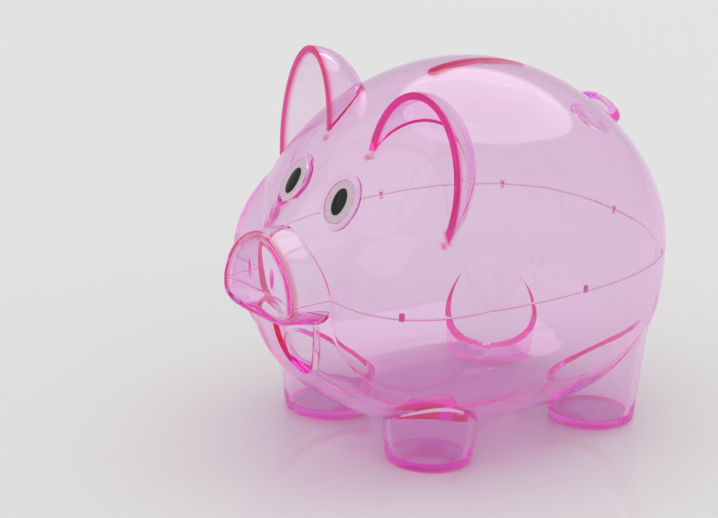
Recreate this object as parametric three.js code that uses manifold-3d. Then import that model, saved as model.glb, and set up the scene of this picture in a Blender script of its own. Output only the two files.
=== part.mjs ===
// A clear plastic piggy bank, injection moulded in two halves that press together on a level seam:
// an upper shell with the ears, eye rings, coin slot and tail, and a lower shell with the legs and mouth.
// The pig faces -Y, its left side is +X, and it stands on its feet at z = 0. Lengths are in millimetres.
import * as THREE from "three";
import { ParametricGeometry } from "three/addons/geometries/ParametricGeometry.js";
import { mergeVertices } from "three/addons/utils/BufferGeometryUtils.js";
import Module from "manifold-3d";

const wasm = await Module();
wasm.setup();

// --- Driving dimensions ---------------------------------------------------------------------------

// The hollow body, outside: its widest section stands between the face and the rump.
const BODY_WIDTH = 90;
const FACE_LENGTH = 52.7; // widest section to the face, along the seam
const RUMP_LENGTH = 59.6; // widest section to the rump, along the seam
const CROWN_HEIGHT = 51.7; // seam to the crown
const BELLY_DEPTH = 42; // seam to the belly
const SEAM_HEIGHT = 47.6; // floor to the seam
const PLAN_POWER = 2.5; // at the seam and below: 2 is an ellipse, higher is squarer
const CROWN_PLAN_POWER = 2; // at the crown
const CROWN_POWER = 1.93;
const BELLY_POWER = 2.9;
const WALL = 2;
const INNER_FLOOR_HEIGHT = 9.8; // feet to the flat floor inside, which makes the belly thicker than the wall

// The snout: a blunt barrel with a dished disc on its end.
const SNOUT_REACH = 11.3; // how far the disc stands ahead of the face
const SNOUT_WIDTH = 30.2;
const SNOUT_RISE = 16.2; // seam to the top of the disc
const SNOUT_DROP = 6.8; // seam to the bottom of the disc
const SNOUT_ROOT_DROP = 9; // seam to the bottom of the barrel, where it meets the face
const SNOUT_TOP_POWER = 1.8; // 2 is an ellipse, lower is more pointed
const SNOUT_BOTTOM_POWER = 3.3;
const SNOUT_EDGE = 1.6; // radius of the disc's rim
const LEAST_EDGE = 0.4; // the same radius on the inside of the wall
const SNOUT_DISH = 1.5; // depth of the dish in the disc
const DISC_WALL_SHARE = 0.6; // of the body's wall
const BARREL_WALL_SHARE = 0.55; // the same round the barrel, which is a full wall at its lip
const LIP_HEIGHT = -0.95; // sine of the turn at which the lip begins to thin out, upwards
const LIP_REACH = 0.5; // by how much that sine grows until the wall is thin
const NOSTRIL_SPREAD = 9.2; // between the nostrils' middles
const NOSTRIL_WIDTH = 2.6;
const NOSTRIL_HEIGHT = 8;
const NOSTRIL_DEPTH = 0.6;
const NOSTRIL_RISE = 4.6; // seam to the nostrils' middle

// Swellings of the face: the cheeks, and the bridge that the snout grows from.
const CHEEK_SPREAD = 64; // between the cheeks' middles
const CHEEK_FORWARD = 39; // ahead of the widest section
const CHEEK_DROP = 1.8; // below the seam
const CHEEK_RADIUS = 21;
const CHEEK_SWELL = 4.4;
const BRIDGE_RADIUS = 19;
const BRIDGE_RISE = 7; // above the seam
const BRIDGE_SWELL = 8.3;

// The mouth: a smiling pocket under the snout, a half-oval pressed into the chin.
const MOUTH_WIDTH = 18;
const MOUTH_HEIGHT = 16.4;
const MOUTH_DEPTH = 2; // at the middle of its height
const MOUTH_WALL = 1;
const MOUTH_SLOPE = 12; // degrees, its floor leans back with the chin

// The legs: hollow tapered cups under the belly.
const LEG_SPREAD = 43.6; // between the legs' axes, across
const FRONT_LEG_FORWARD = 22; // widest section to the front legs' axes
const REAR_LEG_BACK = 34; // widest section to the rear legs' axes
const FOOT_RADIUS = 11.5;
const LEG_TAPER = 0.09; // growth of the radius for each millimetre up
const LEG_TOP = 34; // the cups end inside the body
const LEG_WALL = 1.8;
const FOOT_FLOOR = 2.2;
const FOOT_EDGE = 0.9; // radius round the foot

// The ears: spoon-shaped scoops that open forwards.
const EAR_SPREAD = 45.6; // between the ears' middles
const EAR_MIDDLE_HEIGHT = 78; // above the floor
const EAR_FORWARD = 32.6; // ahead of the widest section
const EAR_HALF_WIDTH = 15.3;
const EAR_HALF_HEIGHT = 24.4;
const EAR_BULGE = 18; // how far the spoon swells backwards
const EAR_WALL = 2;
const EAR_YAW = 13.4; // degrees, turned outwards
const EAR_TILT = 3.6; // degrees, leaning back

// The eyes: an oval ring on the shell, a frosted oval set in it, and a black pupil.
const EYE_SPREAD = 19.4; // between the eyes' middles
const EYE_RISE = 24.1; // above the seam
const EYE_RING_WIDTH = 12;
const EYE_RING_HEIGHT = 16;
const EYE_RING_PROUD = 0.5;
const EYE_WIDTH = 8.8;
const EYE_HEIGHT = 12;
const EYE_SEAT_DEPTH = 1; // pocket for the frosted oval, below the ring's face
const EYE_THICKNESS = 0.6;
const PUPIL_WIDTH = 4.2;
const PUPIL_HEIGHT = 7.4;
const PUPIL_THICKNESS = 0.5;

// The coin slot along the crown.
const SLOT_LENGTH = 31.3;
const SLOT_WIDTH = 3.2;
const SLOT_BACK = 6; // widest section to the slot's middle

// The tail: one curl lying on the rump.
const TAIL_RADIUS = 5; // of the curl
const TAIL_THICKNESS = 4;
const TAIL_LIFT = 2.4; // of the curl's middle, off the rump
const TAIL_RISE = 29; // above the seam
const TAIL_TURNS = 1.15;
const TAIL_CLOSING = 0.35; // share of its radius that the curl loses by its tip

// The seam: a plain butt joint, with locating pegs on the lower shell in sockets of the upper one.
const SEAM_GAP = 0.3;
const PEG_RADIUS = 0.7;
const PEG_HEIGHT = 1.2;
const PEG_INSET = 2; // the pegs' axes, in from the outside
const PEG_BEARINGS = [43, 100, 136, 180, 224, 260, 317]; // degrees round from the snout

const GATE_RADIUS = 1.2; // moulding gate left under the belly
const GATE_PROUD = 0.3;
const GATE_BACK = 17; // widest section to the gate

const CLEARANCE = 0.3; // between pieces that touch

// --- Places worked out from them ------------------------------------------------------------------

const TOTAL_LENGTH = FACE_LENGTH + SNOUT_REACH + RUMP_LENGTH;
const WIDEST_Y = TOTAL_LENGTH / 2 - RUMP_LENGTH;
const DISC_Y = -TOTAL_LENGTH / 2;

// --- Solids ---------------------------------------------------------------------------------------

// A three.js geometry, moved by a matrix, as a manifold solid. Triangles that fold to a line are dropped.
function solid(geometry, matrix = new THREE.Matrix4()) {
  const bare = geometry.clone().applyMatrix4(matrix);
  bare.deleteAttribute("normal");
  bare.deleteAttribute("uv");
  const merged = mergeVertices(bare, 1e-4);
  const corners = merged.index.array;
  const kept = [];
  for (let i = 0; i < corners.length; i += 3) {
    const [a, b, c] = corners.slice(i, i + 3);
    if (a !== b && b !== c && c !== a) kept.push(a, b, c);
  }
  return new wasm.Manifold(
    new wasm.Mesh({
      numProp: 3,
      vertProperties: merged.attributes.position.array,
      triVerts: new Uint32Array(kept),
    }),
  );
}

function piece(name, made, colour, roughness, opacity) {
  const { vertProperties, triVerts } = made.getMesh();
  const geometry = new THREE.BufferGeometry();
  geometry.setAttribute("position", new THREE.BufferAttribute(vertProperties, 3));
  geometry.setIndex(new THREE.BufferAttribute(triVerts, 1));
  const material = new THREE.MeshStandardMaterial({
    color: colour,
    roughness,
    metalness: 0,
    transparent: opacity < 1,
    opacity,
  });
  const mesh = new THREE.Mesh(geometry, material);
  mesh.name = name;
  return mesh;
}

const move = (x, y, z) => new THREE.Matrix4().makeTranslation(x, y, z);

// A cylinder or cone with an upright axis, from z = low to z = high.
function post(radius, low, high, sides = 24) {
  const geometry = new THREE.CylinderGeometry(radius, radius, high - low, sides);
  return solid(geometry.rotateX(Math.PI / 2), move(0, 0, (low + high) / 2));
}

// --- The body's skin ------------------------------------------------------------------------------

// Facets of the skin: round the snout's axis, and from the snout back to the rump.
const TURN_STEPS = 48;
const DISH_STEPS = 4;
const RIM_STEPS = 2;
const BARREL_STEPS = 2;
const BODY_STEPS = 20;
const SNOUT_STEPS = DISH_STEPS + RIM_STEPS + BARREL_STEPS;
const DISH_SHARE = DISH_STEPS / SNOUT_STEPS;
const RIM_SHARE = (DISH_STEPS + RIM_STEPS) / SNOUT_STEPS;
const SNOUT_SHARE = SNOUT_STEPS / (SNOUT_STEPS + BODY_STEPS);
const REAR_CROWDING = 1.2; // over 1, the rings of the body stand closer together near the snout
const HALVINGS = 24; // of the interval in which a lean is sought
const CORRECTIONS = 60; // of the turn and lean that are sought together
const NEARBY = 0.02; // radians to the neighbours that a slope is taken from

const size = (inset) => ({
  half: BODY_WIDTH / 2 - inset,
  face: FACE_LENGTH - inset,
  rump: RUMP_LENGTH - inset,
  crown: CROWN_HEIGHT - inset,
  belly: BELLY_DEPTH - inset,
});

// The plain body: a superellipsoid whose pole is the snout's axis. turn goes round that axis and
// lean is the angle back from it.
function plainPoint(turn, lean, inset) {
  const s = size(inset);
  const x = Math.sin(lean) * Math.cos(turn);
  const y = -Math.cos(lean);
  const z = Math.sin(lean) * Math.sin(turn);
  const power = z > 0 ? CROWN_POWER : BELLY_POWER;
  const planPower = THREE.MathUtils.lerp(PLAN_POWER, CROWN_PLAN_POWER, Math.max(0, z) ** 2);
  const plan = Math.abs(x) ** planPower + Math.abs(y) ** planPower;
  const reach = (plan ** (power / planPower) + Math.abs(z) ** power) ** (-1 / power);
  return new THREE.Vector3(
    s.half * reach * x,
    WIDEST_Y + (y < 0 ? s.face : s.rump) * reach * y,
    SEAM_HEIGHT + (z > 0 ? s.crown : s.belly) * reach * z,
  );
}

// The body with its cheeks and the bridge of the nose.
function facePoint(turn, lean, inset) {
  const p = plainPoint(turn, lean, inset);
  if (p.y > WIDEST_Y) return p;
  const axis = new THREE.Vector3(0, WIDEST_Y, SEAM_HEIGHT);
  const cheek = new THREE.Vector3(
    (Math.sign(p.x) * CHEEK_SPREAD) / 2,
    WIDEST_Y - CHEEK_FORWARD,
    SEAM_HEIGHT - CHEEK_DROP,
  );
  const fromCheek = Math.min(1, p.distanceTo(cheek) / CHEEK_RADIUS);
  const fromBridge = Math.min(1, Math.hypot(p.x, p.z - SEAM_HEIGHT - BRIDGE_RISE) / BRIDGE_RADIUS);
  const outward = cheek.clone().sub(axis).normalize();
  p.addScaledVector(outward, CHEEK_SWELL * (1 - fromCheek ** 2));
  p.y -= BRIDGE_SWELL * (1 - THREE.MathUtils.smoothstep(fromBridge, 0, 1));
  return p;
}

// The snout's outline about its axis: half an egg above the seam, a squarer half below it, which
// deepens from the disc (back = 0) to the face (back = 1).
function snoutRadius(turn, back, inset) {
  const above = Math.sin(turn) > 0;
  const power = above ? SNOUT_TOP_POWER : SNOUT_BOTTOM_POWER;
  const height = above ? SNOUT_RISE : THREE.MathUtils.lerp(SNOUT_DROP, SNOUT_ROOT_DROP, back);
  const across = Math.abs(Math.cos(turn)) / (SNOUT_WIDTH / 2 - inset);
  const upright = Math.abs(Math.sin(turn)) / (height - inset);
  return (across ** power + upright ** power) ** (-1 / power);
}

// The barrel's own wall: thinner than the body's, but full at the bottom, its lip.
function snoutInset(turn, inset) {
  const aboveLip = THREE.MathUtils.clamp((Math.sin(turn) - LIP_HEIGHT) / LIP_REACH, 0, 1);
  return inset * THREE.MathUtils.lerp(1, BARREL_WALL_SHARE, aboveLip);
}

// The angle back from the pole at which the body's own skin reaches the snout's outline.
function snoutLean(turn, inset) {
  const target = snoutRadius(turn, 1, snoutInset(turn, inset));
  let near = 0;
  let far = Math.PI / 2;
  for (let step = 0; step < HALVINGS; step += 1) {
    const middle = (near + far) / 2;
    const p = plainPoint(turn, middle, inset);
    if (Math.hypot(p.x, p.z - SEAM_HEIGHT) < target) near = middle;
    else far = middle;
  }
  return near;
}

// A place on the snout: along the dish to the rim, round the rim, then back along the barrel.
function snoutPoint(turn, along, inset) {
  const edge = Math.max(LEAST_EDGE, SNOUT_EDGE - inset / 2);
  const flat = snoutRadius(turn, 0, snoutInset(turn, inset)) - edge;
  const disc = DISC_Y + DISC_WALL_SHARE * inset;
  let out;
  let y;
  if (along < DISH_SHARE) {
    const share = along / DISH_SHARE;
    out = flat * share;
    y = disc + SNOUT_DISH * (1 - share ** 4);
  } else if (along < RIM_SHARE) {
    const angle = ((along - DISH_SHARE) / (RIM_SHARE - DISH_SHARE)) * (Math.PI / 2);
    out = flat + edge * Math.sin(angle);
    y = disc + edge * (1 - Math.cos(angle));
  } else {
    const back = (along - RIM_SHARE) / (1 - RIM_SHARE);
    const root = facePoint(turn, snoutLean(turn, inset), inset);
    out = THREE.MathUtils.lerp(flat + edge, Math.hypot(root.x, root.z - SEAM_HEIGHT), back);
    y = THREE.MathUtils.lerp(disc + edge, root.y, back);
  }
  return new THREE.Vector3(out * Math.cos(turn), y, SEAM_HEIGHT + out * Math.sin(turn));
}

// The whole skin, snout to rump, at a depth below the outside, as one closed solid.
function skin(inset) {
  const place = (u, v, target) => {
    const turn = (1 - u) * 2 * Math.PI;
    if (v < SNOUT_SHARE) return target.copy(snoutPoint(turn, v / SNOUT_SHARE, inset));
    const share = ((v - SNOUT_SHARE) / (1 - SNOUT_SHARE)) ** REAR_CROWDING;
    const lean = THREE.MathUtils.lerp(snoutLean(turn, inset), Math.PI, share);
    return target.copy(facePoint(turn, lean, inset));
  };
  return solid(new ParametricGeometry(place, TURN_STEPS, SNOUT_STEPS + BODY_STEPS));
}

const outside = skin(0);
const inside = skin(WALL);

// A block that holds everything between two heights.
function layer(low, high) {
  const reach = 2 * TOTAL_LENGTH;
  const block = new THREE.BoxGeometry(reach, reach, high - low);
  return solid(block, move(0, 0, (low + high) / 2));
}

// --- Legs -----------------------------------------------------------------------------------------

const legRadius = (height) => FOOT_RADIUS + LEG_TAPER * height;

function legCup() {
  const profile = new THREE.Path();
  profile.moveTo(0, 0);
  profile.lineTo(FOOT_RADIUS - FOOT_EDGE, 0);
  profile.absarc(FOOT_RADIUS - FOOT_EDGE, FOOT_EDGE, FOOT_EDGE, -Math.PI / 2, 0, false);
  profile.lineTo(legRadius(LEG_TOP), LEG_TOP);
  profile.lineTo(0, LEG_TOP);
  return turned(profile.getPoints(2));
}

function legBore() {
  const profile = new THREE.Path();
  profile.moveTo(0, FOOT_FLOOR);
  profile.lineTo(legRadius(FOOT_FLOOR) - LEG_WALL, FOOT_FLOOR);
  profile.lineTo(legRadius(LEG_TOP) - LEG_WALL, LEG_TOP + WALL);
  profile.lineTo(0, LEG_TOP + WALL);
  return turned(profile.getPoints(1));
}

// A profile (radius, height) turned round an upright axis.
function turned(points) {
  return solid(new THREE.LatheGeometry(points, 20).rotateX(Math.PI / 2));
}

const legPlaces = [];
for (const side of [1, -1]) {
  for (const y of [WIDEST_Y - FRONT_LEG_FORWARD, WIDEST_Y + REAR_LEG_BACK]) {
    legPlaces.push([(side * LEG_SPREAD) / 2, y, 0]);
  }
}

// --- Ears -----------------------------------------------------------------------------------------

function ellipsoid(x, y, z) {
  return solid(new THREE.SphereGeometry(1, 20, 14).rotateX(Math.PI / 2).scale(x, y, z));
}

// One scoop: the rear half of a hollow egg, cut by the plane of its rim.
function ear(side) {
  const egg = ellipsoid(EAR_HALF_WIDTH, EAR_BULGE, EAR_HALF_HEIGHT);
  const hollow = ellipsoid(EAR_HALF_WIDTH - EAR_WALL, EAR_BULGE - EAR_WALL, EAR_HALF_HEIGHT - EAR_WALL);
  const reach = 2 * EAR_HALF_HEIGHT;
  const behind = solid(new THREE.BoxGeometry(2 * reach, reach, 2 * reach), move(0, reach / 2, 0));
  const turn = new THREE.Matrix4().makeRotationFromEuler(
    new THREE.Euler(
      THREE.MathUtils.degToRad(-EAR_TILT),
      0,
      THREE.MathUtils.degToRad(side * EAR_YAW),
      "ZXY",
    ),
  );
  const place = move((side * EAR_SPREAD) / 2, WIDEST_Y - EAR_FORWARD, EAR_MIDDLE_HEIGHT).multiply(turn);
  return egg.subtract(hollow).intersect(behind).transform(place.elements);
}

// --- Eyes -----------------------------------------------------------------------------------------

// Where an eye sits on the outside, as a matrix whose Z axis points out of the face.
function eyeFrame(side) {
  const aim = { x: (side * EYE_SPREAD) / 2, z: SEAM_HEIGHT + EYE_RISE };
  let turn = Math.PI / 2;
  let lean = Math.PI / 4;
  for (let step = 0; step < CORRECTIONS; step += 1) {
    const p = facePoint(turn, lean, 0);
    const radius = Math.hypot(aim.x, aim.z - SEAM_HEIGHT) / Math.hypot(p.x, p.z - SEAM_HEIGHT);
    turn += Math.atan2(aim.z - SEAM_HEIGHT, aim.x) - Math.atan2(p.z - SEAM_HEIGHT, p.x);
    lean *= radius;
  }
  const here = facePoint(turn, lean, 0);
  const round = facePoint(turn - NEARBY, lean, 0).sub(facePoint(turn + NEARBY, lean, 0));
  const back = facePoint(turn, lean + NEARBY, 0).sub(facePoint(turn, lean - NEARBY, 0));
  const normal = back.cross(round).normalize();
  if (normal.y > 0) normal.negate();
  const up = new THREE.Vector3(0, 0, 1).projectOnPlane(normal).normalize();
  const across = up.clone().cross(normal);
  return new THREE.Matrix4().makeBasis(across, up, normal).setPosition(here);
}

// An oval disc on an eye, between two heights above the skin.
function oval(side, width, height, low, high) {
  const disc = new THREE.CylinderGeometry(0.5, 0.5, high - low, 24).rotateX(Math.PI / 2);
  const place = eyeFrame(side).multiply(move(0, 0, (low + high) / 2));
  return solid(disc.scale(width, height, 1), place);
}

const EYE_SEAT = EYE_RING_PROUD - EYE_SEAT_DEPTH;
const EYE_FACE = EYE_SEAT + CLEARANCE + EYE_THICKNESS;
const PUPIL_BACK = EYE_FACE + CLEARANCE;

// --- Slot, tail, nostrils and pegs ----------------------------------------------------------------

function coinSlot() {
  const straight = (SLOT_LENGTH - SLOT_WIDTH) / 2;
  const outline = new THREE.Shape();
  outline.absarc(0, straight, SLOT_WIDTH / 2, 0, Math.PI, false);
  outline.absarc(0, -straight, SLOT_WIDTH / 2, Math.PI, 2 * Math.PI, false);
  const depth = CROWN_HEIGHT / 2;
  const tool = new THREE.ExtrudeGeometry(outline, { depth, bevelEnabled: false, curveSegments: 6 });
  return solid(tool, move(0, WIDEST_Y + SLOT_BACK, SEAM_HEIGHT + CROWN_HEIGHT - depth / 2));
}

// The angle from the rear pole at which the rump is TAIL_RISE above the seam.
function tailLean() {
  let near = 0;
  let far = Math.PI / 2;
  for (let step = 0; step < HALVINGS; step += 1) {
    const middle = (near + far) / 2;
    if (plainPoint(Math.PI / 2, Math.PI - middle, 0).z - SEAM_HEIGHT < TAIL_RISE) near = middle;
    else far = middle;
  }
  return near;
}

// The curl winds round an axis that stands square to the rump, sinking into it at both ends.
class Curl extends THREE.Curve {
  getPoint(t, target = new THREE.Vector3()) {
    const angle = 2 * Math.PI * TAIL_TURNS * t;
    const radius = TAIL_RADIUS * (1 - TAIL_CLOSING * t);
    const lift = TAIL_LIFT * Math.sin(Math.PI * t);
    return target.set(radius * Math.cos(angle), radius * Math.sin(angle), lift);
  }
}

function tail() {
  const section = new THREE.Shape().absarc(0, 0, TAIL_THICKNESS / 2, 0, 2 * Math.PI, false);
  const tube = new THREE.ExtrudeGeometry(section, { steps: 14, curveSegments: 4, extrudePath: new Curl() });
  const lean = Math.PI - tailLean();
  const here = plainPoint(Math.PI / 2, lean, 0);
  const up = plainPoint(Math.PI / 2, lean - NEARBY, 0).sub(here).normalize();
  const across = new THREE.Vector3(-1, 0, 0);
  const normal = across.clone().cross(up);
  return solid(tube, new THREE.Matrix4().makeBasis(across, up, normal).setPosition(here));
}

// The tool that presses the mouth in, grown by its wall for the hollow behind it: a half-oval carried
// forwards from a floor that leans back with the chin.
function mouth(grow) {
  const outline = new THREE.Shape();
  outline.moveTo(-MOUTH_WIDTH / 2 - grow, grow);
  outline.absellipse(0, 0, MOUTH_WIDTH / 2 + grow, MOUTH_HEIGHT + grow, Math.PI, 2 * Math.PI, false);
  outline.lineTo(MOUTH_WIDTH / 2 + grow, grow);
  const tool = new THREE.ExtrudeGeometry(outline, {
    depth: FACE_LENGTH / 4,
    bevelEnabled: false,
    curveSegments: 10,
  });
  const slope = Math.tan(THREE.MathUtils.degToRad(MOUTH_SLOPE));
  const leanBack = new THREE.Matrix4().set(1, 0, 0, 0, 0, 1, -slope, 0, 0, 0, 1, 0, 0, 0, 0, 1);
  tool.rotateX(Math.PI / 2).translate(0, grow, 0).applyMatrix4(leanBack);
  const chin = plainPoint(-Math.PI / 2, Math.asin((SNOUT_ROOT_DROP + MOUTH_HEIGHT / 2) / BELLY_DEPTH), 0);
  const top = SEAM_HEIGHT - SNOUT_ROOT_DROP;
  return solid(tool, move(0, chin.y + MOUTH_DEPTH - slope * (top - chin.z), top));
}

function nostril(side) {
  const depth = NOSTRIL_DEPTH + SNOUT_DISH;
  const pit = new THREE.CylinderGeometry(0.5, 0.5, 2 * depth, 12);
  const x = (side * NOSTRIL_SPREAD) / 2;
  return solid(pit.scale(NOSTRIL_WIDTH, 1, NOSTRIL_HEIGHT), move(x, DISC_Y, SEAM_HEIGHT + NOSTRIL_RISE));
}

// A place on the seam, on a bearing from the snout, at a depth in from the outside.
function onSeam(bearing, inset) {
  const lean = THREE.MathUtils.degToRad(bearing > 180 ? 360 - bearing : bearing);
  const p = facePoint(bearing > 180 ? Math.PI : 0, lean, inset);
  return [p.x, p.y, SEAM_HEIGHT];
}

// --- The pieces -----------------------------------------------------------------------------------

function lowerShell() {
  let outer = outside.subtract(mouth(0));
  let hollow = inside.subtract(mouth(MOUTH_WALL)).intersect(layer(INNER_FLOOR_HEIGHT, 3 * CROWN_HEIGHT));
  for (const [x, y, z] of legPlaces) {
    outer = outer.add(legCup().translate([x, y, z]));
    hollow = hollow.add(legBore().translate([x, y, z]));
  }
  const belly = SEAM_HEIGHT - BELLY_DEPTH;
  const gate = post(GATE_RADIUS, belly - GATE_PROUD, belly + WALL / 2, 12);
  outer = outer.add(gate.translate([0, WIDEST_Y + GATE_BACK, 0]));
  let shell = outer.subtract(hollow).intersect(layer(-1, SEAM_HEIGHT - SEAM_GAP / 2));
  for (const bearing of PEG_BEARINGS) {
    const [x, y, z] = onSeam(bearing, PEG_INSET);
    shell = shell.add(post(PEG_RADIUS, z - 1, z + PEG_HEIGHT, 8).translate([x, y, 0]));
  }
  return shell;
}

function upperShell() {
  let outer = outside.add(tail());
  for (const side of [1, -1]) {
    outer = outer.add(ear(side));
    outer = outer.add(oval(side, EYE_RING_WIDTH, EYE_RING_HEIGHT, -WALL, EYE_RING_PROUD));
    outer = outer.subtract(
      oval(side, EYE_WIDTH + 2 * CLEARANCE, EYE_HEIGHT + 2 * CLEARANCE, EYE_SEAT, 2 * WALL),
    );
  }
  let shell = outer
    .subtract(inside)
    .subtract(coinSlot())
    .intersect(layer(SEAM_HEIGHT + SEAM_GAP / 2, 3 * CROWN_HEIGHT));
  for (const side of [1, -1]) shell = shell.subtract(nostril(side));
  for (const bearing of PEG_BEARINGS) {
    const [x, y, z] = onSeam(bearing, PEG_INSET);
    const socket = post(PEG_RADIUS + CLEARANCE, z - 1, z + PEG_HEIGHT + CLEARANCE, 8);
    shell = shell.subtract(socket.translate([x, y, 0]));
  }
  return shell;
}

const PINK = 0xe7a9cf;
const FROSTED = 0xe9cfdc;
const BLACK = 0x111112;

const bank = new THREE.Group();
bank.add(piece("lower_shell", lowerShell(), PINK, 0.08, 0.45));
bank.add(piece("upper_shell", upperShell(), PINK, 0.08, 0.45));
for (const [name, side] of [["left", 1], ["right", -1]]) {
  const white = oval(side, EYE_WIDTH, EYE_HEIGHT, EYE_SEAT + CLEARANCE, EYE_FACE);
  const pupil = oval(side, PUPIL_WIDTH, PUPIL_HEIGHT, PUPIL_BACK, PUPIL_BACK + PUPIL_THICKNESS);
  bank.add(piece("eye_white_" + name, white, FROSTED, 0.6, 1));
  bank.add(piece("pupil_" + name, pupil, BLACK, 0.15, 1));
}

export default bank;
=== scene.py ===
# %% [markdown]
# # A clear pink piggy bank
# A moulded plastic pig in two halves. The looks of a clear thing come from its wall: light goes in through
# one face, is tinted on its way, and leaves by another. So both faces of the wall are modelled here, as
# fine smooth surfaces, and most of the plastic's colour is put inside the wall, not on it.

import bpy
import numpy as np
from mathutils import Matrix, Vector


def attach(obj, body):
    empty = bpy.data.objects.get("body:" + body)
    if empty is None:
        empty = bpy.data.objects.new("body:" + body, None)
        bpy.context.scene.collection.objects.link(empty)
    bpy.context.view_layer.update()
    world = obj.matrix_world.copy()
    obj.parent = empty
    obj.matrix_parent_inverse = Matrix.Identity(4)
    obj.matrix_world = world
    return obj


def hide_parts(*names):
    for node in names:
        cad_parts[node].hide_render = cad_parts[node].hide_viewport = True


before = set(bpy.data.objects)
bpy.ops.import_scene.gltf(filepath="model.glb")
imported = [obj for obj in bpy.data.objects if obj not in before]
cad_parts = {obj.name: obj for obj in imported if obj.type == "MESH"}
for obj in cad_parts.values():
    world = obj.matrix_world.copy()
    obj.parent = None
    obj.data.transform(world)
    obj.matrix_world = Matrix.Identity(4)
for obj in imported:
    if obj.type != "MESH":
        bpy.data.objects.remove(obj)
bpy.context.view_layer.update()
print("pieces to dress:", sorted(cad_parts))

# %% [markdown]
# ## The sizes
# All sizes are in millimetres, as a mould maker writes them, and become metres only when a mesh is made.
# The pig faces -Y, its left side is +X, and its feet stand at z = 0.

# %% Sizes of the body and the snout
MM = 0.001
BODY_WIDTH = 90.0
FACE_LENGTH = 52.7
RUMP_LENGTH = 59.6
CROWN_HEIGHT = 51.7
BELLY_DEPTH = 42.0
SEAM_HEIGHT = 47.6
PLAN_POWER = 2.5
CROWN_PLAN_POWER = 2.0
CROWN_POWER = 1.93
BELLY_POWER = 2.9
WALL = 2.0
INNER_FLOOR_HEIGHT = 9.8
SEAM_GAP = 0.12
CLEARANCE = 0.08

SNOUT_REACH = 11.3
SNOUT_WIDTH = 30.2
SNOUT_RISE = 16.2
SNOUT_DROP = 6.8
SNOUT_ROOT_DROP = 9.0
SNOUT_TOP_POWER = 1.8
SNOUT_BOTTOM_POWER = 3.3
SNOUT_EDGE = 1.6
LEAST_EDGE = 0.4
SNOUT_DISH = 1.5
DISC_WALL_SHARE = 0.6
BARREL_WALL_SHARE = 0.55
LIP_HEIGHT = -0.95
LIP_REACH = 0.5

TOTAL_LENGTH = FACE_LENGTH + SNOUT_REACH + RUMP_LENGTH
WIDEST_Y = TOTAL_LENGTH / 2 - RUMP_LENGTH
DISC_Y = -TOTAL_LENGTH / 2
print(f"length {TOTAL_LENGTH:.1f} mm, widest section at y = {WIDEST_Y:.1f} mm")

# %% [markdown]
# ## From a grid of points to a mesh
# Every surface below is a grid: rows run from one pole to the other, and columns go round. The grid is
# worked out by numpy as whole arrays, so a fine surface costs no more code than a coarse one.

# %% A closed surface from a grid
def closed_surface(name, grid):
    """grid[row, column] holds points in mm; the first and last rows are poles, each one point. Quads join
    the rows, triangles close the poles, and the faces are turned round if the volume comes out negative."""
    rows, columns = grid.shape[:2]
    middle = grid[1:-1].reshape(-1, 3)
    points = np.vstack([grid[:1, 0], middle, grid[-1:, 0]]) * MM
    column = np.arange(columns)
    after = np.roll(column, -1)
    starts = 1 + np.arange(rows - 3)[:, None] * columns
    quads = np.stack(
        [starts + column, starts + after, starts + columns + after, starts + columns + column], axis=-1
    ).reshape(-1, 4)
    last = len(points) - 1
    ring = last - columns
    near_pole = np.stack([np.zeros(columns, int), after + 1, column + 1], axis=-1)
    far_pole = np.stack([np.full(columns, last), ring + column, ring + after], axis=-1)
    a, b, c = (points[near_pole[:, i]] for i in range(3))
    p, q, r, s = (points[quads[:, i]] for i in range(4))
    volume = np.einsum("ij,ij->", p, np.cross(q, r)) + np.einsum("ij,ij->", p, np.cross(r, s))
    volume += np.einsum("ij,ij->", a, np.cross(b, c))
    faces = quads.tolist() + near_pole.tolist() + far_pole.tolist()
    if volume < 0:
        faces = [face[::-1] for face in faces]
    mesh = bpy.data.meshes.new(name)
    mesh.from_pydata(points.tolist(), [], faces)
    mesh.validate()
    piece = bpy.data.objects.new(name, mesh)
    bpy.context.scene.collection.objects.link(piece)
    return piece


def between(low, high, steps):
    """steps evenly spaced values, both ends included, as a column for the rows of a grid."""
    return np.linspace(low, high, steps)[:, None]


def mix(a, b, share):
    """a where share is 0, b where it is 1."""
    return a + (b - a) * share


def round_turn(steps):
    """Angles once round, without the last, which is the first again, as a row for a grid's columns."""
    return np.linspace(0, 2 * np.pi, steps, endpoint=False)[None, :]


# %% [markdown]
# ## Cutting and joining
# The real mould is cut the same way: the outside of one block, the inside of another. Blender's Boolean
# modifier does it, with the Manifold solver, which is quick and needs closed meshes. Each result is applied
# at once, so that a piece is a plain mesh in the end.

# %% Booleans, applied at once
def combine(base, tool, how):
    """Changes base and uses tool up; how is UNION, DIFFERENCE or INTERSECT."""
    cutter = base.modifiers.new("cut", "BOOLEAN")
    cutter.operation = how
    cutter.solver = "MANIFOLD"
    cutter.object = tool
    made = bpy.data.meshes.new_from_object(base.evaluated_get(bpy.context.evaluated_depsgraph_get()))
    base.modifiers.clear()
    base.data = made
    bpy.data.objects.remove(tool)


def turned(name, radius, height, x, y, columns=128):
    """A profile, radius and height row by row, turned round the upright axis through x, y."""
    turn = round_turn(columns)
    radius, height = np.atleast_2d(radius).T, np.atleast_2d(height).T
    grid = np.stack([x + radius * np.cos(turn), y + radius * np.sin(turn), height + 0 * turn], axis=-1)
    return closed_surface(name, grid)


def layer(low, high):
    """A drum that holds everything between two heights. Its ends are cut like a cake, so that each bit of a
    flat ring which it leaves is a small face, and none has a hole in it."""
    reach = 2 * TOTAL_LENGTH
    return turned("layer", [0, reach, reach, 0], [low, low, high, high], 0, WIDEST_Y, columns=180)


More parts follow.
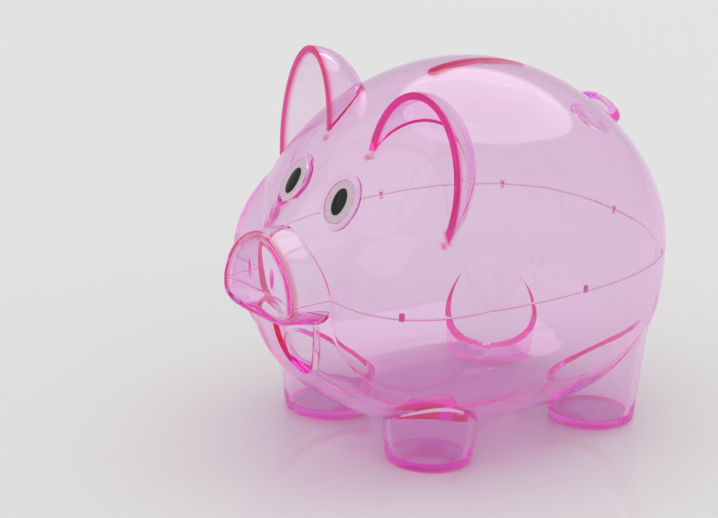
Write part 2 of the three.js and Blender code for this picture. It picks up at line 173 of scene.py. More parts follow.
# %% [markdown]
# ## The body
# A pig like this is nearly an egg, but squarer seen from above than from the side. A superellipsoid says
# that with three sizes and a few powers: power 2 is an ellipse, and a higher one is squarer. Its poles lie
# on the snout's axis, so the rows of the grid run from the snout back to the rump, as the pig's own do.

# %% The plain body
def plain_body(turn, lean, inset):
    """Direction d at angle lean from -Y and turn round it; reach = ((|dx|^m + |dy|^m)^(n/m) + |dz|^n)^(-1/n);
    the point is the direction times reach times the half sizes less the inset. n changes at the seam, and m
    falls from there up to the crown."""
    x = np.sin(lean) * np.cos(turn)
    y = -np.cos(lean)
    z = np.sin(lean) * np.sin(turn)
    power = np.where(z > 0, CROWN_POWER, BELLY_POWER)
    plan_power = mix(PLAN_POWER, CROWN_PLAN_POWER, np.maximum(0, z) ** 2)
    plan = np.abs(x) ** plan_power + np.abs(y) ** plan_power
    reach = (plan ** (power / plan_power) + np.abs(z) ** power) ** (-1 / power)
    length = np.where(y < 0, FACE_LENGTH, RUMP_LENGTH) - inset
    height = np.where(z > 0, CROWN_HEIGHT, BELLY_DEPTH) - inset
    half = BODY_WIDTH / 2 - inset
    return np.stack(
        [half * reach * x, WIDEST_Y + length * reach * y, SEAM_HEIGHT + height * reach * z], axis=-1
    )


# %% Cheeks and the bridge of the nose
CHEEK_SPREAD = 64.0
CHEEK_FORWARD = 39.0
CHEEK_DROP = 1.8
CHEEK_RADIUS = 21.0
CHEEK_SWELL = 4.4
BRIDGE_RADIUS = 19.0
BRIDGE_RISE = 7.0
BRIDGE_SWELL = 8.3


def body(turn, lean, inset):
    """The plain body; near each cheek it moves outwards by swell (1 - (distance / radius)^2), and near the
    snout forwards by swell (1 - smoothstep(distance / radius))."""
    p = plain_body(turn, lean, inset)
    side = np.sign(p[..., 0])
    cheek = np.stack(
        [
            side * CHEEK_SPREAD / 2,
            np.full_like(side, WIDEST_Y - CHEEK_FORWARD),
            np.full_like(side, SEAM_HEIGHT - CHEEK_DROP),
        ],
        axis=-1,
    )
    outward = cheek - np.array([0, WIDEST_Y, SEAM_HEIGHT])
    outward /= np.linalg.norm(outward, axis=-1, keepdims=True)
    from_cheek = np.minimum(1, np.linalg.norm(p - cheek, axis=-1) / CHEEK_RADIUS)
    across = np.hypot(p[..., 0], p[..., 2] - SEAM_HEIGHT - BRIDGE_RISE)
    from_bridge = np.minimum(1, across / BRIDGE_RADIUS)
    ahead = p[..., 1] <= WIDEST_Y
    swell = np.where(ahead, CHEEK_SWELL * (1 - from_cheek**2), 0)
    nose = np.where(ahead, BRIDGE_SWELL * (1 - from_bridge**2 * (3 - 2 * from_bridge)), 0)
    p = p + outward * swell[..., None]
    p[..., 1] -= nose
    return p


# %% [markdown]
# ## The snout
# A blunt barrel with a dished disc on its end. It starts where the body's skin crosses the snout's outline,
# which a few halvings of an interval find for all columns at once.

# %% The snout's outline and its root
HALVINGS = 24


def snout_radius(turn, back, inset):
    """Radius of a superellipse: half an egg above the seam, a squarer half below, which deepens backwards."""
    above = np.sin(turn) > 0
    power = np.where(above, SNOUT_TOP_POWER, SNOUT_BOTTOM_POWER)
    height = np.where(above, SNOUT_RISE, mix(SNOUT_DROP, SNOUT_ROOT_DROP, back))
    across = np.abs(np.cos(turn)) / (SNOUT_WIDTH / 2 - inset)
    upright = np.abs(np.sin(turn)) / (height - inset)
    return (across**power + upright**power) ** (-1 / power)


def snout_inset(turn, inset):
    """The barrel's wall is about half as thick as the body's, but full at the bottom, its lip."""
    above_lip = np.clip((np.sin(turn) - LIP_HEIGHT) / LIP_REACH, 0, 1)
    return inset * mix(1.0, BARREL_WALL_SHARE, above_lip)


def snout_lean(turn, inset):
    """The lean at which the plain body is as wide as the snout's root."""
    target = snout_radius(turn, 1.0, snout_inset(turn, inset))
    near = np.zeros_like(target)
    far = np.full_like(target, np.pi / 2)
    for _ in range(HALVINGS):
        middle = (near + far) / 2
        p = plain_body(turn, middle, inset)
        inside = np.hypot(p[..., 0], p[..., 2] - SEAM_HEIGHT) < target
        near = np.where(inside, middle, near)
        far = np.where(inside, far, middle)
    return near


# %% The whole skin, snout to rump
TURN_STEPS = 288
DISH_ROWS = 14
RIM_ROWS = 8
BARREL_ROWS = 14
BODY_ROWS = 124
REAR_CROWDING = 1.2


def skin(name, inset):
    """Rows: the dish to the rim, a quarter circle round the rim, straight back along the barrel to the face,
    then the body from there to the rump."""
    turn = round_turn(TURN_STEPS)
    edge = max(LEAST_EDGE, SNOUT_EDGE - inset / 2)
    flat = snout_radius(turn, 0.0, snout_inset(turn, inset)) - edge
    disc = DISC_Y + DISC_WALL_SHARE * inset
    lean = snout_lean(turn, inset)
    root = body(turn, lean, inset)
    root_out = np.hypot(root[..., 0], root[..., 2] - SEAM_HEIGHT)
    share = between(0, 1, DISH_ROWS)
    dish_out, dish_y = flat * share, disc + SNOUT_DISH * (1 - share**4)
    angle = between(0, np.pi / 2, RIM_ROWS)[1:]
    rim_out, rim_y = flat + edge * np.sin(angle), disc + edge * (1 - np.cos(angle))
    back = between(0, 1, BARREL_ROWS)[1:-1]
    barrel_out, barrel_y = mix(flat + edge, root_out, back), mix(disc + edge, root[..., 1], back)
    out = np.vstack([dish_out + 0 * turn, rim_out, barrel_out])
    y = np.vstack([dish_y + 0 * turn, rim_y + 0 * turn, barrel_y])
    snout = np.stack([out * np.cos(turn), y, SEAM_HEIGHT + out * np.sin(turn)], axis=-1)
    along = between(0, 1, BODY_ROWS) ** REAR_CROWDING
    rest = body(turn + 0 * along, mix(lean, np.pi, along), inset)
    return closed_surface(name, np.concatenate([snout, rest]))


print("the skin's grid:", TURN_STEPS, "by", DISH_ROWS + RIM_ROWS + BARREL_ROWS + BODY_ROWS - 3)

# %% [markdown]
# ## The ears
# Each ear is a spoon: the rear half of a hollow egg with a rounded rim. Carrying one profile from the
# back of the bowl, round the rim and into the hollow gives both faces and the lip in a single surface.

# %% One ear
EAR_SPREAD = 45.6
EAR_MIDDLE_HEIGHT = 78.0
EAR_FORWARD = 32.6
EAR_HALF_WIDTH = 15.3
EAR_HALF_HEIGHT = 24.4
EAR_BULGE = 18.0
EAR_WALL = 2.0
EAR_RIM_EDGE = 0.3
EAR_YAW = 13.4
EAR_TILT = 3.6
EAR_TURN_STEPS = 160
EAR_BOWL_ROWS = 48
EAR_RIM_ROWS = 6


def ear_place(side):
    """The turn of an ear, outwards then back, as a matrix, and where its middle is."""
    yaw = Matrix.Rotation(np.radians(side * EAR_YAW), 3, "Z")
    tilt = Matrix.Rotation(np.radians(-EAR_TILT), 3, "X")
    return np.array(yaw @ tilt), np.array([side * EAR_SPREAD / 2, WIDEST_Y - EAR_FORWARD, EAR_MIDDLE_HEIGHT])


def ear(side):
    """Rows: outer bowl (w sin t, b cos t, h sin t), a flat rim between two small quarter circles, then the
    inner bowl back."""
    turn = round_turn(EAR_TURN_STEPS)
    soft = EAR_RIM_EDGE
    t = between(0, np.pi / 2, EAR_BOWL_ROWS)
    outer = np.sin(t), soft + (EAR_BULGE - soft) * np.cos(t), 0 * t
    r = between(0, np.pi / 2, EAR_RIM_ROWS)
    first = 1 + 0 * r, soft * (1 - np.sin(r)), soft * (1 - np.cos(r))
    second = 1 + 0 * r, soft * (1 - np.cos(r)), EAR_WALL - soft * (1 - np.sin(r))
    inner = np.sin(t[::-1]), soft + (EAR_BULGE - EAR_WALL - soft) * np.cos(t[::-1]), EAR_WALL + 0 * t
    outer, second = (tuple(rows[:-1] for rows in part) for part in (outer, second))
    share, y, thin = (np.vstack(rows) for rows in zip(outer, first, second, inner))
    x = (EAR_HALF_WIDTH - thin) * share * np.cos(turn)
    z = (EAR_HALF_HEIGHT - thin) * share * np.sin(turn)
    grid = np.stack([x, y + 0 * x, z], axis=-1)
    turning, place = ear_place(side)
    return closed_surface("ear", grid @ turning.T + place)


# %% [markdown]
# ## The eyes
# A thin oval ring stands on the brow, a frosted oval is set into it, and a black pupil on that. All are the
# same rounded disc at different sizes, laid on a small frame of axes that follows the brow.

# %% Where an eye sits
EYE_SPREAD = 19.4
EYE_RISE = 24.1
EYE_RING_WIDTH = 12.0
EYE_RING_HEIGHT = 16.0
EYE_RING_PROUD = 0.5
EYE_RING_EDGE = 1.6
EYE_RING_DROP = 0.6
EYE_WIDTH = 8.8
EYE_HEIGHT = 12.0
EYE_SEAT_DEPTH = 1.0
EYE_THICKNESS = 0.6
PUPIL_WIDTH = 4.2
PUPIL_HEIGHT = 7.4
PUPIL_RIM = 0.2
PUPIL_EDGE = 0.15
PUPIL_DOME = 0.25
EYE_EDGE = 0.2
EYE_LIFT = 0.3
FILM = 0.03
EYE_SEAT = EYE_RING_PROUD - EYE_SEAT_DEPTH
EYE_FACE = EYE_SEAT + EYE_LIFT + EYE_THICKNESS
PUPIL_BACK = EYE_FACE + FILM
EYE_SEARCHES = 60


def on_body(turn, lean):
    """One point of the outer skin."""
    return body(np.array([turn]), np.array([lean]), 0.0)[0]


def eye_frame(side):
    """Origin and axes (across, up, out) on the skin, where x and z are the eye's."""
    x, z = side * EYE_SPREAD / 2, EYE_RISE
    turn, lean = np.pi / 2, np.pi / 4
    for _ in range(EYE_SEARCHES):
        p = on_body(turn, lean) - [0, 0, SEAM_HEIGHT]
        turn += np.arctan2(z, x) - np.arctan2(p[2], p[0])
        lean *= np.hypot(x, z) / np.hypot(p[0], p[2])
    step = 0.02
    around = on_body(turn - step, lean) - on_body(turn + step, lean)
    back = on_body(turn, lean + step) - on_body(turn, lean - step)
    out = np.cross(back, around)
    out *= -np.sign(out[1]) / np.linalg.norm(out)
    up = np.array([0, 0, 1]) - out * out[2]
    up /= np.linalg.norm(up)
    return on_body(turn, lean), np.stack([np.cross(up, out), up, out])


# %% A rounded oval disc
OVAL_TURN_STEPS = 96
OVAL_FLAT_ROWS = 10
OVAL_EDGE_ROWS = 7


def oval(name, side, width, height, low, high, edge=0.25, drop=0.25, dome=0.0):
    """Rows: the back, the upright side, a quarter ellipse (edge across, drop deep), then the face, which
    rises by dome (1 - r^2)."""
    turn = round_turn(OVAL_TURN_STEPS)
    r = between(0, 1, OVAL_FLAT_ROWS)
    angle = between(0, np.pi / 2, OVAL_EDGE_ROWS)
    less = np.vstack([0 * r, 0 * angle + edge * (1 - np.cos(angle)), 0 * r + edge])
    share = np.vstack([r, 1 + 0 * angle, r[::-1]])
    rise = np.vstack([low + 0 * r, high - drop + drop * np.sin(angle), high + dome * (1 - r[::-1] ** 2)])
    x = (width / 2 - less) * share * np.cos(turn)
    z = (height / 2 - less) * share * np.sin(turn)
    origin, axes = eye_frame(side)
    grid = np.stack([x, z, rise + 0 * x], axis=-1) @ axes + origin
    return closed_surface(name, grid)


# %% [markdown]
# ## The legs and the mouth
# A leg is a tapered cup, so its outside and its bore are profiles turned round an upright axis. The mouth is
# a smiling half-oval pressed into the chin, whose floor leans back.

# %% Turned profiles
LEG_SPREAD = 43.6
FRONT_LEG_FORWARD = 22.0
REAR_LEG_BACK = 34.0
FOOT_RADIUS = 11.5
LEG_TAPER = 0.09
LEG_TOP = 34.0
LEG_WALL = 1.8
FOOT_FLOOR = 2.2
FOOT_EDGE = 0.9
BORE_EDGE = 0.6
LEG_EDGE_ROWS = 9
LEG_SIDE_ROWS = 24
LEG_FLOOR_ROWS = 12


def leg(x, y, inset):
    """The outside with inset 0; with the wall as inset, its bore."""
    foot = FOOT_RADIUS - inset
    floor = FOOT_FLOOR if inset else 0.0
    top = LEG_TOP + inset
    edge = BORE_EDGE if inset else FOOT_EDGE
    angle = np.linspace(-np.pi / 2, 0, LEG_EDGE_ROWS)
    rise = np.linspace(floor + edge, top, LEG_SIDE_ROWS)[1:]
    bottom = np.linspace(0, foot - edge, LEG_FLOOR_ROWS)[:-1]
    radius = np.concatenate([bottom, foot - edge + edge * np.cos(angle), foot + LEG_TAPER * rise, [0]])
    height = np.concatenate([bottom * 0 + floor, floor + edge + edge * np.sin(angle), rise, [top]])
    return turned("leg", radius, height, x, y)


LEG_PLACES = [
    (side * LEG_SPREAD / 2, y)
    for side in (1, -1)
    for y in (WIDEST_Y - FRONT_LEG_FORWARD, WIDEST_Y + REAR_LEG_BACK)
]

# %% The mouth
MOUTH_WIDTH = 18.0
MOUTH_HEIGHT = 16.4
MOUTH_DEPTH = 2.0
MOUTH_WALL = 1.0
MOUTH_SLOPE = 12.0
MOUTH_CURVE_STEPS = 64
MOUTH_TOP_STEPS = 24


def mouth(grow):
    """The outline (w cos t, h sin t), t from pi to 2 pi, with its straight top, carried forwards from a
    sloping floor."""
    half = MOUTH_WIDTH / 2 + grow
    t = np.linspace(np.pi, 2 * np.pi, MOUTH_CURVE_STEPS)
    x = np.concatenate([half * np.cos(t), np.linspace(half, -half, MOUTH_TOP_STEPS)[1:-1]])
    top = SEAM_HEIGHT - SNOUT_ROOT_DROP
    z = np.concatenate([top + (MOUTH_HEIGHT + grow) * np.sin(t), np.full(MOUTH_TOP_STEPS - 2, top + grow)])
    slope = np.tan(np.radians(MOUTH_SLOPE))
    chin_lean = np.arcsin((SNOUT_ROOT_DROP + MOUTH_HEIGHT / 2) / BELLY_DEPTH)
    chin = plain_body(np.array([-np.pi / 2]), np.array([chin_lean]), 0.0)[0]
    middle = np.array([0.0, top - MOUTH_HEIGHT / 3])
    share = np.array([0.0, 0.5, 1.0, 1.0, 0.5, 0.0])[:, None]
    ahead = np.array([0.0, 0.0, 0.0, 1.0, 1.0, 1.0])[:, None]
    px = mix(middle[0], x[None, :], share)
    pz = mix(middle[1], z[None, :], share)
    floor = chin[1] + MOUTH_DEPTH - slope * (pz - chin[2]) + grow
    grid = np.stack([px, floor - ahead * FACE_LENGTH / 4, pz], axis=-1)
    return closed_surface("mouth", grid)


# %% [markdown]
# ## Slot, nostrils, tail, pegs and gate mark
# Small shapes that are cut out of the shells or joined to them.

# %% Coin slot
SLOT_LENGTH = 31.3
SLOT_WIDTH = 3.2
SLOT_BACK = 6.0
SLOT_TURN_STEPS = 64
OFF_ZERO = 0.01


def coin_slot():
    """A stadium, two half circles joined by straight sides, carried down through the crown. OFF_ZERO keeps
    each column on one half circle or the other."""
    t = round_turn(SLOT_TURN_STEPS)
    straight = (SLOT_LENGTH - SLOT_WIDTH) / 2
    share = np.array([0.0, 1.0, 1.0, 0.0])[:, None]
    rise = np.array([0.0, 0.0, 1.0, 1.0])[:, None]
    x = share * SLOT_WIDTH / 2 * np.cos(t)
    half_circle = np.sign(np.sin(t + OFF_ZERO))
    y = WIDEST_Y + SLOT_BACK + share * (SLOT_WIDTH / 2 * np.sin(t) + straight * half_circle)
    depth = CROWN_HEIGHT / 2
    z = SEAM_HEIGHT + CROWN_HEIGHT - depth / 2 + depth * rise + 0 * t
    return closed_surface("slot", np.stack([x, y, z], axis=-1))


# %% Nostrils
NOSTRIL_SPREAD = 9.2
NOSTRIL_WIDTH = 2.6
NOSTRIL_HEIGHT = 8.0
NOSTRIL_DEPTH = 0.6
NOSTRIL_RISE = 4.6
NOSTRIL_TURN_STEPS = 48
NOSTRIL_ROWS = 25


def nostril(side):
    """An upright ellipsoid whose front half presses into the disc."""
    turn = round_turn(NOSTRIL_TURN_STEPS)
    t = between(0, np.pi, NOSTRIL_ROWS)
    x = side * NOSTRIL_SPREAD / 2 + NOSTRIL_WIDTH / 2 * np.sin(t) * np.cos(turn)
    z = SEAM_HEIGHT + NOSTRIL_RISE + NOSTRIL_HEIGHT / 2 * np.sin(t) * np.sin(turn)
    y = DISC_Y + (NOSTRIL_DEPTH + SNOUT_DISH) * np.cos(t) + 0 * turn
    return closed_surface("nostril", np.stack([x, y, z], axis=-1))


# %% Tail
TAIL_RADIUS = 5.0
TAIL_THICKNESS = 4.0
TAIL_LIFT = 2.4
TAIL_RISE = 29.0
TAIL_TURNS = 1.15
TAIL_CLOSING = 0.35
TAIL_ROWS = 90
TAIL_TURN_STEPS = 32
RUMP_LINE_STEPS = 2000
RUMP_SLOPE_STEPS = 8


def tail():
    """A tube round a closing spiral that lifts off the rump and sinks back into it at both ends."""
    lean = np.linspace(np.pi / 2, np.pi, RUMP_LINE_STEPS)
    line = plain_body(np.full_like(lean, np.pi / 2), lean, 0.0)
    here = int(np.argmax(line[:, 2] - SEAM_HEIGHT < TAIL_RISE))
    up = line[here - RUMP_SLOPE_STEPS] - line[here]
    up /= np.linalg.norm(up)
    across = np.array([-1.0, 0.0, 0.0])
    out = np.cross(across, up)
    t = between(0, 1, TAIL_ROWS)
    angle = 2 * np.pi * TAIL_TURNS * t
    radius = TAIL_RADIUS * (1 - TAIL_CLOSING * t)
    centre = np.hstack([radius * np.cos(angle), radius * np.sin(angle), TAIL_LIFT * np.sin(np.pi * t)])
    along = np.gradient(centre, axis=0)
    along /= np.linalg.norm(along, axis=1, keepdims=True)
    side = np.cross(along, [0, 0, 1])
    side /= np.linalg.norm(side, axis=1, keepdims=True)
    top = np.cross(side, along)
    turn = round_turn(TAIL_TURN_STEPS)[..., None]
    thick = TAIL_THICKNESS / 2
    tube = centre[:, None] + thick * (np.cos(turn) * side[:, None] + np.sin(turn) * top[:, None])
    ends = [np.repeat(centre[i][None, None], TAIL_TURN_STEPS, axis=1) for i in (0, -1)]
    grid = np.concatenate([ends[0], tube, ends[1]])
    return closed_surface("tail", grid @ np.stack([across, up, out]) + line[here])


# %% Locating pegs
PEG_RADIUS = 0.7
PEG_HEIGHT = 1.2
PEG_INSET = 2.0
PEG_EDGE = 0.3
PEG_ROOT = 1.0
PEG_EDGE_ROWS = 6
PEG_BEARINGS = [43, 100, 136, 180, 224, 260, 317]


def peg(bearing, radius, height):
    """An upright pin with a rounded end, through the seam at a bearing from the snout."""
    lean = np.radians(min(bearing, 360 - bearing))
    x, y, _ = body(np.array([0.0 if bearing <= 180 else np.pi]), np.array([lean]), PEG_INSET)[0]
    angle = np.linspace(0, np.pi / 2, PEG_EDGE_ROWS)
    r = np.concatenate([[0, radius], radius - PEG_EDGE + PEG_EDGE * np.cos(angle), [0]])
    root, top = SEAM_HEIGHT - PEG_ROOT, SEAM_HEIGHT + height
    z = np.concatenate([[root, root], top - PEG_EDGE + PEG_EDGE * np.sin(angle), [top]])
    return turned("peg", r, z, x, y, columns=24)


# %% The dot that the mould's gate leaves under the belly
GATE_RADIUS = 1.2
GATE_PROUD = 0.3
GATE_BACK = 17.0
GATE_EDGE = 0.1


def gate():
    """A small round stud, proud of the belly and sunk into its wall."""
    belly = SEAM_HEIGHT - BELLY_DEPTH
    low, top = belly - GATE_PROUD, belly + WALL / 2
    radius = [0, GATE_RADIUS - GATE_EDGE, GATE_RADIUS, GATE_RADIUS, 0]
    height = [low, low, low + GATE_EDGE, top, top]
    return turned("gate", radius, height, 0, WIDEST_Y + GATE_BACK, columns=48)


# %% [markdown]
# ## Making the two shells
# First the whole outside and the whole hollow, then the cut at the seam, and last the pegs that stand on
# the lower half and the sockets in the upper one that take them.

# %% Upper shell
WELL_ABOVE = 3 * CROWN_HEIGHT
WELL_BELOW = -1.0


def upper_shell():
    """The crown with its ears and eye rings, then the hollow, the slot, the nostrils and the sockets."""
    made = skin("upper_shell_clear", 0.0)
    combine(made, layer(SEAM_HEIGHT + SEAM_GAP / 2, WELL_ABOVE), "INTERSECT")
    for side in (1, -1):
        combine(made, ear(side), "UNION")
        size = EYE_RING_WIDTH, EYE_RING_HEIGHT
        ring = oval("ring", side, *size, -WALL / 2, EYE_RING_PROUD, EYE_RING_EDGE, EYE_RING_DROP)
        combine(made, ring, "UNION")
        low = EYE_FACE - EYE_THICKNESS - FILM
        seat = oval("seat", side, EYE_WIDTH + 2 * FILM, EYE_HEIGHT + 2 * FILM, low, 2 * WALL)
        combine(made, seat, "DIFFERENCE")
    combine(made, tail(), "UNION")
    combine(made, skin("hollow", WALL), "DIFFERENCE")
    combine(made, coin_slot(), "DIFFERENCE")
    for side in (1, -1):
        combine(made, nostril(side), "DIFFERENCE")
    for bearing in PEG_BEARINGS:
        combine(made, peg(bearing, PEG_RADIUS + CLEARANCE, PEG_HEIGHT + CLEARANCE), "DIFFERENCE")
    return made


# %% Lower shell
def lower_shell():
    """The belly and legs with the mouth pressed in, then the hollow and the bores, and the pegs last."""
    made = skin("lower_shell_clear", 0.0)
    combine(made, mouth(0.0), "DIFFERENCE")
    hollow = skin("hollow", WALL)
    combine(hollow, mouth(MOUTH_WALL), "DIFFERENCE")
    combine(hollow, layer(INNER_FLOOR_HEIGHT, WELL_ABOVE), "INTERSECT")
    combine(made, gate(), "UNION")
    for x, y in LEG_PLACES:
        combine(made, leg(x, y, 0.0), "UNION")
        combine(hollow, leg(x, y, LEG_WALL), "UNION")
    combine(made, hollow, "DIFFERENCE")
    combine(made, layer(WELL_BELOW, SEAM_HEIGHT - SEAM_GAP / 2), "INTERSECT")
    for bearing in PEG_BEARINGS:
        combine(made, peg(bearing, PEG_RADIUS, PEG_HEIGHT), "UNION")
    return made


# %% [markdown]
# ## Where the wall is seen edge-on
# A rim lets the eye look along the wall, not through it, so the dye looks far stronger there: round the ears,
# in the coin slot, on the snout's rim, under the feet and at the seam. That look is painted on: a value on
# the mesh, 1 at such an edge and 0 away from it, tells the material where to put a painted deep magenta tint
# and a painted glow. The shares say how strong each edge is beside the ears' own.

# %% The edge value
EAR_GLOW_DEPTH = 2.0
SNOUT_GLOW_DEPTH = 1.0
SNOUT_GLOW_SPREAD = 0.5
FOOT_GLOW_HEIGHT = 1.4
SLOT_SHARE = 0.9
SNOUT_SHARE = 0.5
FOOT_SHARE = 0.6
SEAM_SHARE = 0.6
EGG_SLACK = 0.01
EAR_RIM_SLACK = 0.1
SLOT_SLACK = 0.05


def fade(depth, reach):
    """1 at depth 0 and below, falling smoothly to 0 at reach."""
    t = np.clip(depth / reach, 0, 1)
    return 1 - t**2 * (3 - 2 * t)


def ear_edge(p, side):
    """Fades with the depth behind the plane of an ear's rim, for points in the ear's own wall."""
    turning, place = ear_place(side)
    x, y, z = ((p - place) @ turning).T
    half = np.array([EAR_HALF_WIDTH, EAR_BULGE, EAR_HALF_HEIGHT])
    local = np.stack([x, y, z], axis=-1)
    in_egg = np.linalg.norm(local / half, axis=-1) < 1 + EGG_SLACK
    off_hollow = np.linalg.norm(local / (half - EAR_WALL), axis=-1) > 1 - EGG_SLACK
    return np.where(in_egg & off_hollow & (y > -EAR_RIM_SLACK), fade(y, EAR_GLOW_DEPTH), 0)


def edge_value(p):
    """The largest of the edges' own values at each point, with p as an array of points in mm."""
    x, y, z = p.T
    along = np.maximum(0, np.abs(y - WIDEST_Y - SLOT_BACK) - (SLOT_LENGTH - SLOT_WIDTH) / 2)
    slot = (np.hypot(x, along) < SLOT_WIDTH / 2 + SLOT_SLACK) & (z > SEAM_HEIGHT + CROWN_HEIGHT / 2)
    turn = np.arctan2(z - SEAM_HEIGHT, x)
    from_rim = snout_radius(turn, 0.0, 0.0) - np.hypot(x, z - SEAM_HEIGHT)
    off_rim = np.abs(from_rim - SNOUT_EDGE / 2) - SNOUT_EDGE / 2
    snout = fade(y - DISC_Y - SNOUT_EDGE, SNOUT_GLOW_DEPTH) * fade(off_rim, SNOUT_GLOW_SPREAD)
    off_axis = np.min([np.hypot(x - leg_x, y - leg_y) for leg_x, leg_y in LEG_PLACES], axis=0)
    feet = fade(z, FOOT_GLOW_HEIGHT) * (off_axis > FOOT_RADIUS - 2 * FOOT_EDGE)
    others = SLOT_SHARE * slot, SNOUT_SHARE * snout, FOOT_SHARE * feet
    return np.max([ear_edge(p, 1), ear_edge(p, -1), *others], axis=0)


def give_edge_value(piece):
    """The value goes on the faces' corners, so that the faces at the seam don't pass theirs on."""
    mesh = piece.data
    co = np.empty(len(mesh.vertices) * 3, np.float32)
    mesh.vertices.foreach_get("co", co)
    point = np.empty(len(mesh.loops), np.int32)
    mesh.loops.foreach_get("vertex_index", point)
    sides = np.empty(len(mesh.polygons), np.int32)
    mesh.polygons.foreach_get("loop_total", sides)
    middle = np.empty(len(mesh.polygons) * 3, np.float32)
    mesh.polygons.foreach_get("center", middle)
    at_seam = np.abs(middle.reshape(-1, 3)[:, 2] / MM - SEAM_HEIGHT) < SEAM_GAP
    value = edge_value(co.reshape(-1, 3) / MM)[point]
    value = np.maximum(value, SEAM_SHARE * np.repeat(at_seam, sides))
    mesh.attributes.new("edge", "FLOAT", "CORNER").data.foreach_set("value", value.astype(np.float32))
    print(piece.name, "edge corners:", int((value > 0.5).sum()), "of", len(value))


# %% Making them
SHELL_CREASE = 32
shells = {"upper": upper_shell(), "lower": lower_shell()}
for half, made in shells.items():
    give_edge_value(made)
    made.data.shade_smooth()
    made.data.set_sharp_from_angle(angle=np.radians(SHELL_CREASE))
    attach(made, half)
    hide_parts(f"{half}_shell")
    made.data.calc_loop_triangles()
    print(half, "shell:", len(made.data.loop_triangles), "triangles")

# %% Eyes
EYE_CREASE = 40
eyes = {}
for word, side in (("left", 1), ("right", -1)):
    heights = EYE_FACE - EYE_THICKNESS, EYE_FACE
    white = oval(f"eye_frost_{word}", side, EYE_WIDTH, EYE_HEIGHT, *heights, EYE_EDGE, EYE_EDGE)
    heights = PUPIL_BACK, PUPIL_BACK + PUPIL_RIM
    rounding = PUPIL_EDGE, PUPIL_EDGE, PUPIL_DOME
    pupil = oval(f"pupil_gloss_{word}", side, PUPIL_WIDTH, PUPIL_HEIGHT, *heights, *rounding)
    for piece, node, slot in ((white, "eye_white", "eye_frost"), (pupil, "pupil", "pupil_black")):
        piece.data.shade_smooth()
        piece.data.set_sharp_from_angle(angle=np.radians(EYE_CREASE))
        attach(piece, "upper")
        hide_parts(f"{node}_{word}")
        eyes[piece.name] = piece
print("eye pieces:", sorted(eyes))

# %% [markdown]
# ## The plastics
# Clear polystyrene is a Principled BSDF with full transmission. Its dye is a Volume Absorption: green light
# is lost fastest, so a single wall is a pale pink and a long way through the wall is a hot magenta. On top of
# the dye a faint glow is painted, which makes the edges hot pink: a little on each face that is met from
# inside, and more where the edge value says so.

# %% A faint unevenness that all the plastics share
GRAIN_SCALE = 1400
MARK_SCALE = 60
MARK_DETAIL = 5
MARKS_BETWEEN = 0.5, 0.75
BUMP_DISTANCE = 0.001


def moulded_surface():
    """A node group: slow waves left by the mould, a finer grain, and a mask of light handling marks."""
    group = bpy.data.node_groups.new("moulded surface", "ShaderNodeTree")
    put = group.interface.new_socket
    for name, value in (("Wave Size", 90.0), ("Wave Height", 0.05), ("Grain Height", 0.01)):
        put(name, in_out="INPUT", socket_type="NodeSocketFloat").default_value = value
    put("Marks", in_out="OUTPUT", socket_type="NodeSocketFloat")
    put("Normal", in_out="OUTPUT", socket_type="NodeSocketVector")
    nodes, link = group.nodes, group.links.new
    given, made = nodes.new("NodeGroupInput"), nodes.new("NodeGroupOutput")
    where = nodes.new("ShaderNodeTexCoord")
    waves, grain, marks = (nodes.new("ShaderNodeTexNoise") for _ in range(3))
    grain.inputs["Scale"].default_value = GRAIN_SCALE
    grain.inputs["Detail"].default_value = 1
    marks.inputs["Scale"].default_value = MARK_SCALE
    marks.inputs["Detail"].default_value = MARK_DETAIL
    waves.inputs["Detail"].default_value = 1
    for noise in (waves, grain, marks):
        link(where.outputs["Object"], noise.inputs["Vector"])
    link(given.outputs["Wave Size"], waves.inputs["Scale"])
    low, high = nodes.new("ShaderNodeBump"), nodes.new("ShaderNodeBump")
    for bump, noise, height in ((low, waves, "Wave Height"), (high, grain, "Grain Height")):
        bump.inputs["Distance"].default_value = BUMP_DISTANCE
        link(noise.outputs["Fac"], bump.inputs["Height"])
        link(given.outputs[height], bump.inputs["Strength"])
    link(low.outputs["Normal"], high.inputs["Normal"])
    ramp = nodes.new("ShaderNodeMapRange")
    ramp.inputs["From Min"].default_value, ramp.inputs["From Max"].default_value = MARKS_BETWEEN
    link(marks.outputs["Fac"], ramp.inputs["Value"])
    link(ramp.outputs["Result"], made.inputs["Marks"])
    link(high.outputs["Normal"], made.inputs["Normal"])
    return group


surface = moulded_surface()


# %% Material helpers
def material(name):
    """An empty material, with its list of nodes and the call that links them."""
    made = bpy.data.materials.new(name)
    made.use_nodes = True
    made.node_tree.nodes.clear()
    return made, made.node_tree.nodes, made.node_tree.links.new


def unevenness(nodes, wave_size, wave_height, grain_height):
    """The shared node group with one plastic's own sizes."""
    node = nodes.new("ShaderNodeGroup")
    node.node_tree = surface
    node.inputs["Wave Size"].default_value = wave_size
    node.inputs["Wave Height"].default_value = wave_height
    node.inputs["Grain Height"].default_value = grain_height
    return node


def from_marks(nodes, link, source, low, high):
    """A value that goes from low to high with the handling marks."""
    ramp = nodes.new("ShaderNodeMapRange")
    ramp.inputs["To Min"].default_value = low
    ramp.inputs["To Max"].default_value = high
    link(source.outputs["Marks"], ramp.inputs["Value"])
    return ramp.outputs["Result"]


def blend(nodes, link, factor, low, high):
    """A colour that goes from low to high with factor. Each end is a colour, or a socket that gives one."""
    node = nodes.new("ShaderNodeMix")
    node.data_type = "RGBA"
    for name, end in (("A", low), ("B", high)):
        if isinstance(end, tuple):
            node.inputs[name].default_value = (*end, 1)
        else:
            link(end, node.inputs[name])
    link(factor, node.inputs["Factor"])
    return node.outputs["Result"]


